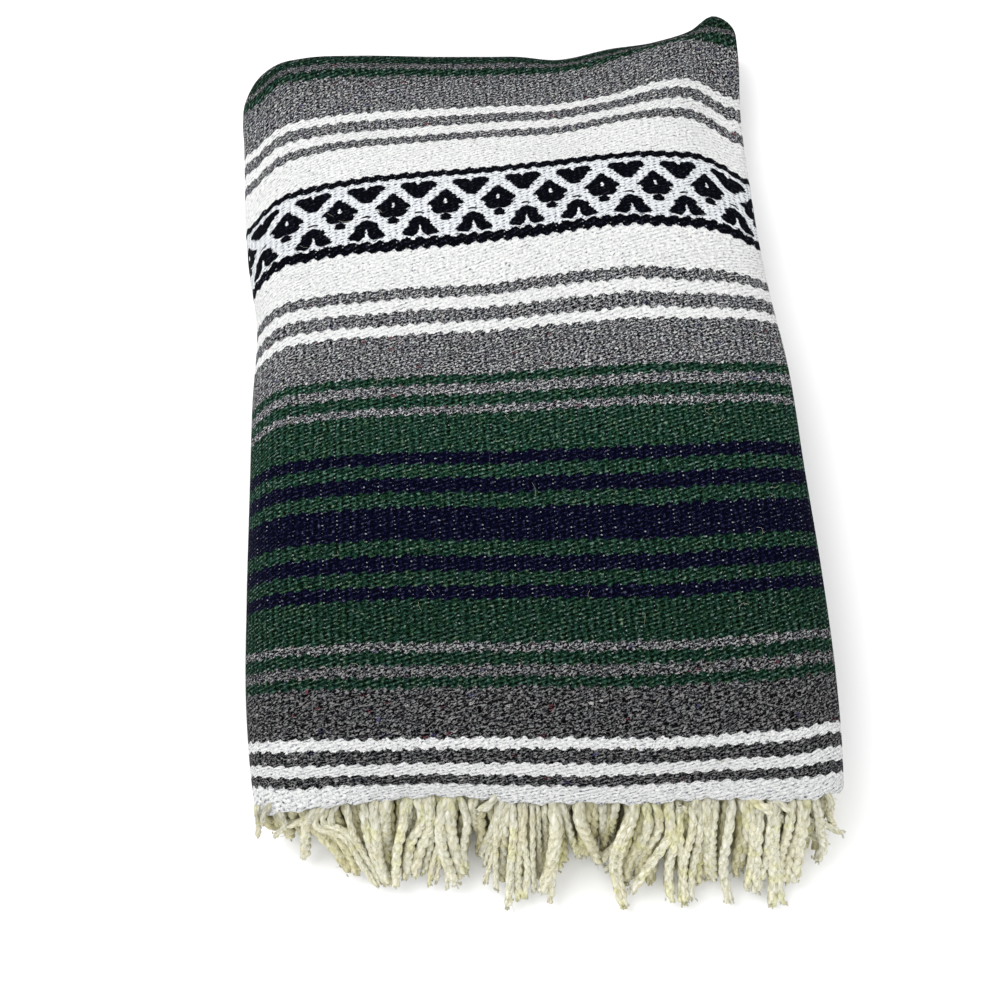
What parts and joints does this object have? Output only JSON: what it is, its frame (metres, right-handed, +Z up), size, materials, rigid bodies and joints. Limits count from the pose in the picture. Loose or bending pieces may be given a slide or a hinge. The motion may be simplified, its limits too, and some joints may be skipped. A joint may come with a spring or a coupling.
{
  "type": "mexican serape",
  "caption": "Woven wool serape folded into a flat rectangular pile, striped with diamond bands, its warp fringe spread out at one end.",
  "frame": {"origin": "middle of the underside of the whole part's box, on the surface it lies on", "axes": "+Z up, +Y from the fringe to the far folds, +X to the right as the fringe end is seen"},
  "size_m": [0.3248, 0.5482, 0.064],
  "materials": {
    "outer_cloth": "weft-faced wool weave, green, navy, grey and white stripes",
    "folded_layers": "the same woollen cloth, folded edges",
    "fringe": "undyed plied warp yarn"
  },
  "bodies": {
    "root": {"outer_cloth": "outer_cloth", "folded_layers": "folded_layers", "fringe_hem_upper": "fringe", "fringe_hem_lower": "fringe", "fringe_middle": "fringe", "fringe_bottom": "fringe"}
  },
  "joints": []
}
